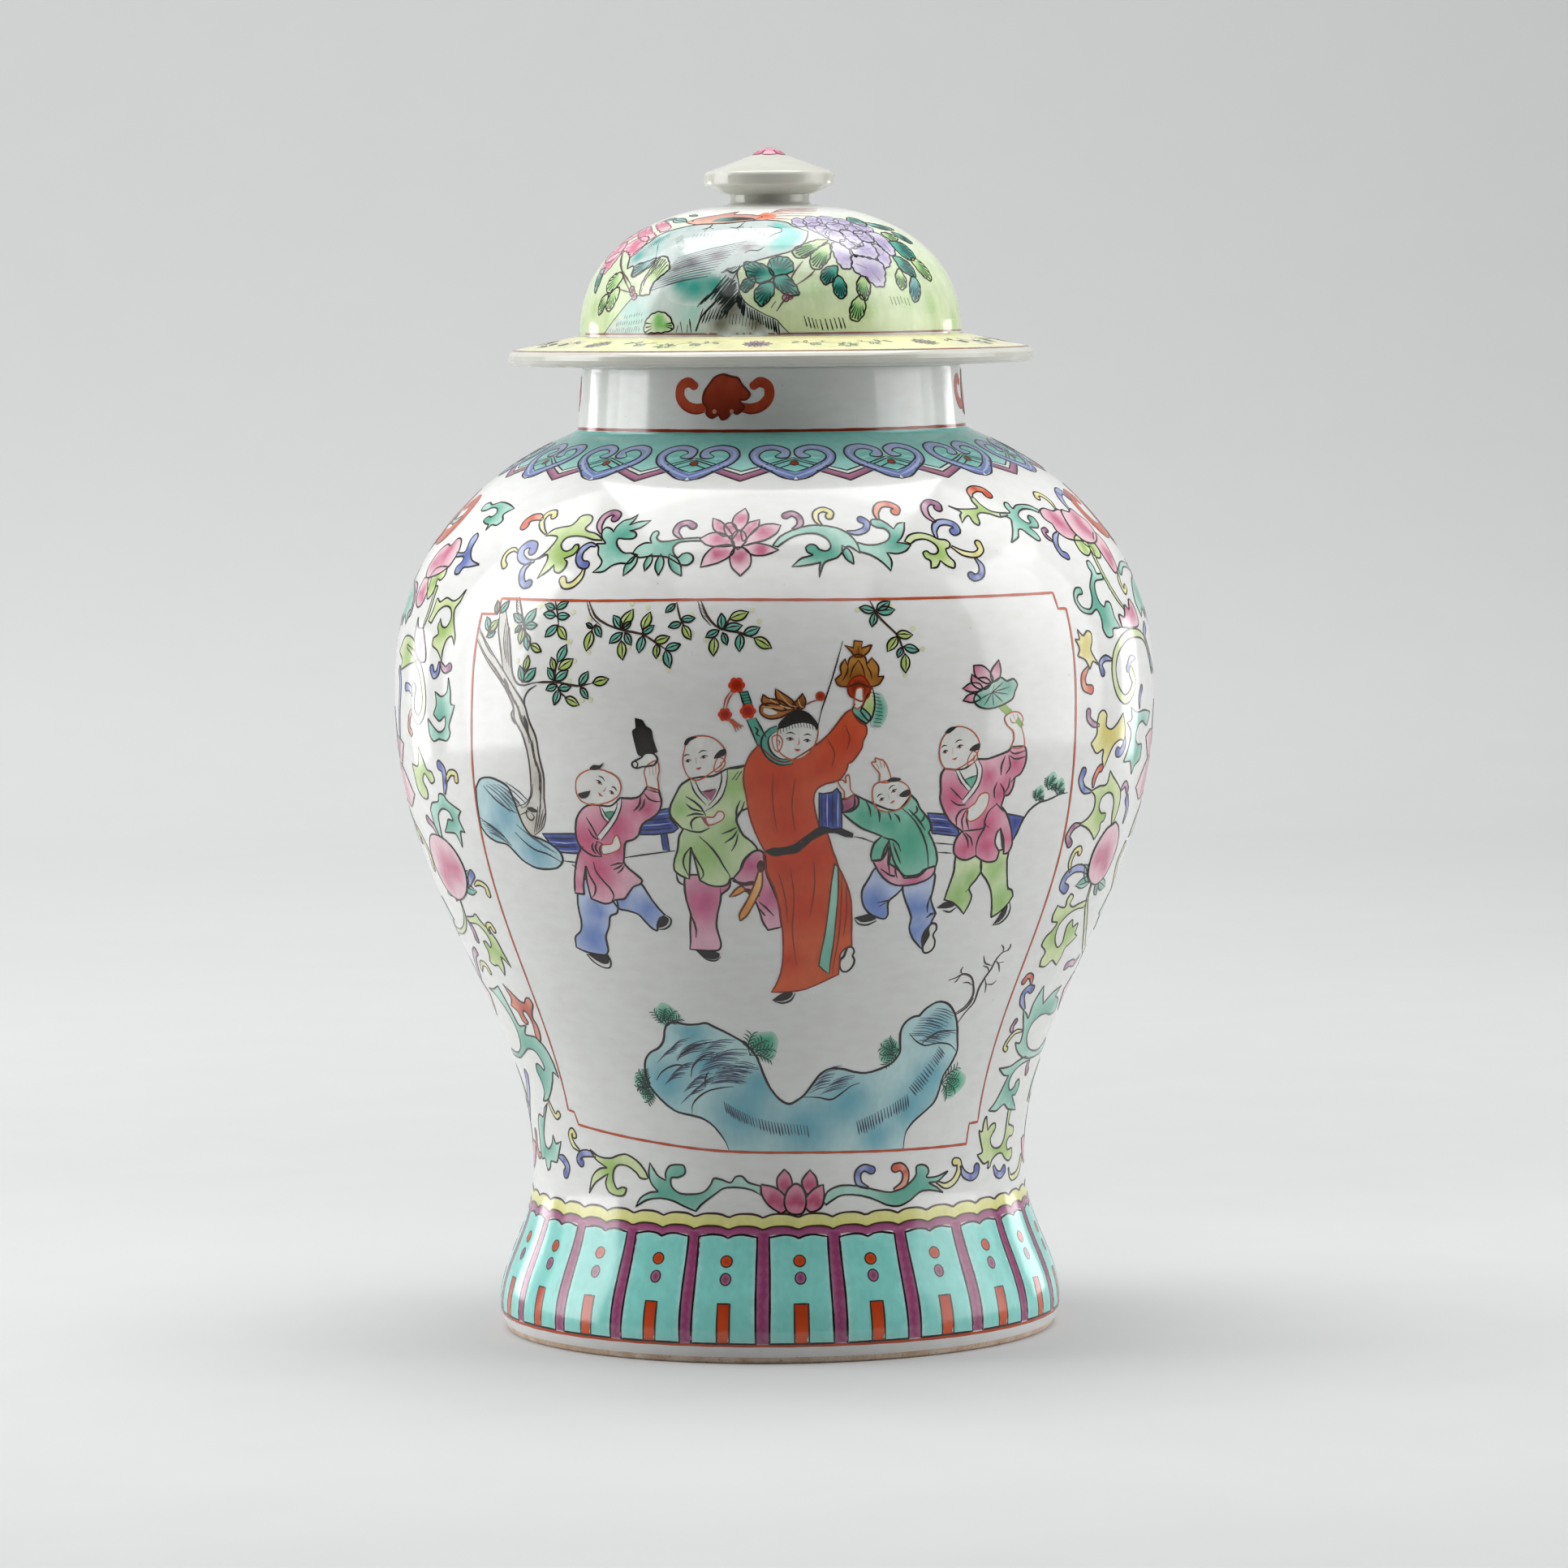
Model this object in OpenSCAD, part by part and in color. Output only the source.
// Lidded baluster jar ("ginger jar"), thrown in sections that are luted together with slip,
// and a separate hat-shaped lid that rests on the neck and lifts off.
// Z runs up the axis of throwing, and the foot ring stands on Z = 0. Millimetres.

/* [Foot] */
// Outer radius of the foot ring where it stands
ring_r = 104.4; // [100:0.1:106]
// Radius of the flared foot at its widest
foot_r = 107.3; // [106.5:0.1:115]
// Height of the widest part of the foot
foot_z = 10; // [6:0.5:16]
// Width of the standing face of the foot ring
ring_w = 9; // [5:0.5:16]
// Depth of the recess under the base
recess = 7; // [4:0.5:12]
// Thickness of the base
floor_t = 9; // [6:0.5:16]
// Radius where the inner wall turns into the base
floor_fillet = 16; // [8:1:24]
// Width of the scraped bevels on both edges of the foot ring
foot_bevel = 0.8; // [0.4:0.1:1.5]
// Chamfer between the foot ring and the recess
foot_round = 1.5; // [0.5:0.1:3]

/* [Body] */
// Radius of the waist
waist_r = 94; // [84:0.5:100]
// Height of the waist, where the foot section and the flank are luted
waist_z = 64; // [50:1:80]
// How low the flare below the waist opens: more is lower
foot_bias = 1.2; // [1:0.05:1.5]
// Radius of the belly
belly_r = 144.8; // [130:0.2:160]
// Height of the belly, where the flank and the shoulder are luted
belly_z = 245; // [220:1:270]
// How far the fullness of the belly carries down the flank
flank_bias = 1.13; // [1:0.01:1.4]
// Height that the shoulder curve would reach at the axis
shoulder_h = 110.5; // [90:0.5:130]
// Roundness of the shoulder: 2 is an ellipse, more is squarer
shoulder_n = 2.2; // [2:0.05:2.8]
// Thickness of the body wall
wall = 6; // [4:0.5:9]
// Height of the slope inside that leads from the shoulder up to the mouth
throat_h = 11; // [8:1:16]

/* [Neck] */
// Outer radius of the neck where it is luted to the shoulder
neck_base_r = 73.9; // [66:0.1:80]
// How much the neck narrows from its seat to its lip
neck_taper = 1.8; // [0:0.1:4]
// Thickness of the neck at its lip
neck_wall = 6.1; // [5:0.1:9]
// Height of the neck
neck_h = 24.8; // [18:0.2:40]
// Rounding of the lip
lip_round = 1.6; // [0.5:0.1:2]

/* [Lid] */
// How far the foot of the dome stands out past the lip of the neck
dome_over = 0.5; // [0:0.1:2]
// Width of the brim outside the dome
brim_w = 27.6; // [18:0.2:40]
// Height of the rounded edge of the brim
brim_edge = 6; // [4:0.5:9]
// How far the brim rises from its edge to the dome
brim_rise = 5.2; // [2:0.2:9]
// Height that the dome curve would reach at the axis
dome_h = 50; // [35:0.5:65]
// Roundness of the dome: 2 is an ellipse, more is squarer
dome_n = 2.3; // [2:0.05:2.8]
// Thickness of the ledge inside the lid
ledge_h = 3.6; // [3:0.2:4.5]
// Chamfer between the ledge and the dome wall
ledge_round = 2; // [1:0.5:3]
// Thickness of the dome wall
lid_wall = 5; // [3.5:0.5:6.5]

/* [Locating rim of the lid] */
// Free space between the locating rim and the mouth, on each side
rim_gap = 1.5; // [0.8:0.1:3]
// Thickness of the locating rim
rim_t = 5; // [4:0.5:8]
// How far the locating rim reaches into the mouth
rim_depth = 15; // [8:0.5:20]

/* [Knob] */
// Radius of the stem of the knob
stem_r = 15.2; // [12:0.2:18]
// Height of the stem
stem_h = 2.2; // [1:0.2:8]
// Radius of the concave foot of the stem
stem_flare = 1.4; // [0.5:0.1:3]
// Outer radius of the knob
knob_r = 24.8; // [21:0.2:32]
// Height of the flare below the knob's edge
knob_flare_h = 3.5; // [2:0.1:8]
// Belly of that flare, 1 for a straight cone
knob_flare_n = 1.3; // [1:0.05:2]
// Height of the knob's edge
knob_edge = 5.6; // [4:0.2:8]
// Rounding of the upper corner of the knob's edge
knob_round = 2; // [1:0.1:2.4]
// Rounding of the lower corner of the knob's edge
knob_ridge = 1; // [0.5:0.1:1.4]
// Height of the cone on top of the knob
cone_h = 6.2; // [4:0.2:10]
// Radius where the cone turns into the crown
crown_r = 6.2; // [4:0.2:10]
// Height of the bell-shaped crown
crown_h = 2.6; // [1:0.1:4]

/* [Hidden] */
$fn = 180;
glaze = [0.93, 0.93, 0.91];
biscuit = [0.86, 0.80, 0.72];
step_z = 3;         // height of one turned facet of a profile
arc_steps = 6;      // straight steps in a quarter turn of a rounded edge
curve_steps = 16;   // steps in the curve of the dome

floor_z = recess + floor_t;
neck_lip_r = neck_base_r - neck_taper;
bore_r = neck_lip_r - neck_wall;   // the mouth, straight down through the neck
dome_r = neck_lip_r + dome_over;
brim_r = dome_r + brim_w;
// The neck stands where the shoulder curve has come in to the neck's own radius.
neck_z = belly_z + shoulder_h * superellipse(neck_base_r / belly_r, shoulder_n);
lip_z = neck_z + neck_h;
dome_z = lip_z + brim_edge + brim_rise;
// The knob's stem is luted to a flat turned on top of the dome.
pad_r = stem_r + stem_flare;
pad_z = dome_z + dome_h * superellipse(pad_r / dome_r, dome_n);
rim_out_r = bore_r - rim_gap;
rim_in_r = rim_out_r - rim_t;
knob_z = pad_z + stem_flare + stem_h + knob_flare_h;

// The other coordinate of a superellipse of unit size.
function superellipse(t, n) = pow(1 - pow(min(abs(t), 1), n), 1 / n);
// A smooth rise from 0 to 1 whose middle is moved by the bias.
function swell(t, bias) = (1 - cos(180 * pow(t, bias))) / 2;
// Points on an arc about c, from angle a0 to a1.
function arc(c, r, a0, a1) =
    [for (i = [0:arc_steps]) let (a = a0 + (a1 - a0) * i / arc_steps) c + r * [cos(a), sin(a)]];
function reversed(list) = [for (i = [len(list) - 1:-1:0]) list[i]];
// Evenly spaced heights from z0 to z1, both included, about step_z apart.
function heights(z0, z1) =
    let (n = max(1, ceil((z1 - z0) / step_z))) [for (i = [0:n]) z0 + (z1 - z0) * i / n];

// Outer radius of the body at a height.
function body_r(z) =
    z < foot_z ? ring_r + (foot_r - ring_r) * (1 - pow(1 - z / foot_z, 2))
    : z < waist_z ? waist_r + (foot_r - waist_r) * swell((waist_z - z) / (waist_z - foot_z), foot_bias)
    : z < belly_z ? belly_r - (belly_r - waist_r) * swell((belly_z - z) / (belly_z - waist_z), flank_bias)
    : belly_r * superellipse((z - belly_z) / shoulder_h, shoulder_n);
function body_slope(z) = (body_r(z + 0.2) - body_r(z - 0.2)) / 0.4;
// The point of the inner face opposite the outer face at this height, one wall in along the normal.
// The sections meet on level faces at the waist and the belly, where the wall is upright.
function body_in(z) =
    let (s = z == belly_z || z == waist_z ? 0 : body_slope(z), k = sqrt(1 + s * s))
    [body_r(z) - wall / k, z + wall * s / k];
function body_outside(z0, z1) = [for (z = heights(z0, z1)) [body_r(z), z]];
function body_inside(z0, z1) = [for (z = heights(z0, z1)) body_in(z)];

// Outer point of the dome at a share of its sweep from the brim to the pad, and the point one wall in.
function dome_at(t) =
    let (a = t * acos(pow(pad_r / dome_r, dome_n / 2)))
    [dome_r * pow(cos(a), 2 / dome_n), dome_z + dome_h * pow(sin(a), 2 / dome_n)];
function dome_in_at(t) =
    [(dome_r - lid_wall) * pow(cos(90 * t), 2 / dome_n),
     dome_z + (pad_z - dome_z - lid_wall) * pow(sin(90 * t), 2 / dome_n)];

module turned(points) { rotate_extrude() polygon(points); }

// First thrown section: foot ring, base and flare up to the waist.
module foot_section() {
    turn_z = floor_z + floor_fillet;
    inside = [for (p = body_inside(foot_z, waist_z)) if (p[1] > turn_z) p];
    turn_r = inside[0][0];
    ring_in_r = ring_r - ring_w;
    color(glaze) turned(concat(
        [[0, recess], [ring_in_r - foot_round, recess], [ring_in_r, recess - foot_round],
         [ring_in_r, foot_bevel], [ring_in_r + foot_bevel, 0], [ring_r - foot_bevel, 0]],
        body_outside(foot_bevel, waist_z),
        reversed(inside),
        reversed(arc([turn_r - floor_fillet, turn_z], floor_fillet, -90, 0)),
        [[0, floor_z]]));
}

// Second thrown section: flank from the waist up to the belly.
module lower_body() {
    color(glaze) turned(concat(body_outside(waist_z, belly_z), reversed(body_inside(waist_z, belly_z))));
}

// Third thrown section: shoulder from the belly up to the seat of the neck.
module upper_body() {
    inside = [for (p = body_inside(belly_z, neck_z)) if (p[1] < neck_z - throat_h) p];
    color(glaze) turned(concat(
        body_outside(belly_z, neck_z),
        [[bore_r, neck_z]],
        reversed(inside)));
}

// Straight neck with a rounded lip, open right through.
module neck_collar() {
    color(glaze) turned(concat(
        [[bore_r, neck_z], [neck_base_r, neck_z]],
        arc([neck_lip_r - lip_round, lip_z - lip_round], lip_round, 0, 90),
        arc([bore_r + lip_round, lip_z - lip_round], lip_round, 90, 180)));
}

// Brim of the hat-shaped lid: flat underside, rounded edge, top sloping up to the dome,
// and inside the dome a ledge that carries the locating rim.
module lid_brim() {
    dome_in_r = dome_r - lid_wall;
    color(glaze) turned(concat(
        [[rim_in_r, lip_z]],
        arc([brim_r - brim_edge / 2, lip_z + brim_edge / 2], brim_edge / 2, -90, 75),
        [[dome_r, dome_z], [dome_in_r, dome_z], [dome_in_r, lip_z + ledge_h + ledge_round],
         [dome_in_r - ledge_round, lip_z + ledge_h], [rim_in_r, lip_z + ledge_h]]));
}

// Dome of the lid, with a small flat on top for the knob.
module lid_dome() {
    color(glaze) turned(concat(
        [for (i = [0:curve_steps]) dome_at(i / curve_steps)],
        [[0, pad_z]],
        [for (i = [curve_steps:-1:0]) dome_in_at(i / curve_steps)]));
}

// Ring luted under the lid that drops into the mouth and keeps the lid centred.
module lid_locating_rim() {
    foot = 1.2;
    color(biscuit) turned([
        [rim_in_r, lip_z], [rim_out_r, lip_z], [rim_out_r, lip_z - rim_depth + foot],
        [rim_out_r - foot, lip_z - rim_depth], [rim_in_r + foot, lip_z - rim_depth],
        [rim_in_r, lip_z - rim_depth + foot]]);
}

// Mushroom knob: stem, swelling flare, rounded edge, cone and a bell-shaped crown.
module lid_knob() {
    stem_top = pad_z + stem_flare + stem_h;
    flare_w = knob_r - knob_ridge - stem_r;
    crown_z = knob_z + knob_edge + cone_h;
    color(glaze) turned(concat(
        [[0, pad_z]],
        reversed(arc([pad_r, pad_z + stem_flare], stem_flare, 180, 270)),
        [for (i = [0:arc_steps - 1]) let (t = i / arc_steps)
            [stem_r + flare_w * t, stem_top + knob_flare_h * pow(t, knob_flare_n)]],
        arc([knob_r - knob_ridge, knob_z + knob_ridge], knob_ridge, -60, 0),
        arc([knob_r - knob_round, knob_z + knob_edge - knob_round], knob_round, 0, 70),
        [for (i = [0:arc_steps]) let (t = i / arc_steps)
            [crown_r * (1 - t), crown_z + crown_h * sin(90 * t)]]));
}

foot_section();
lower_body();
upper_body();
neck_collar();
lid_brim();
lid_dome();
lid_locating_rim();
lid_knob();
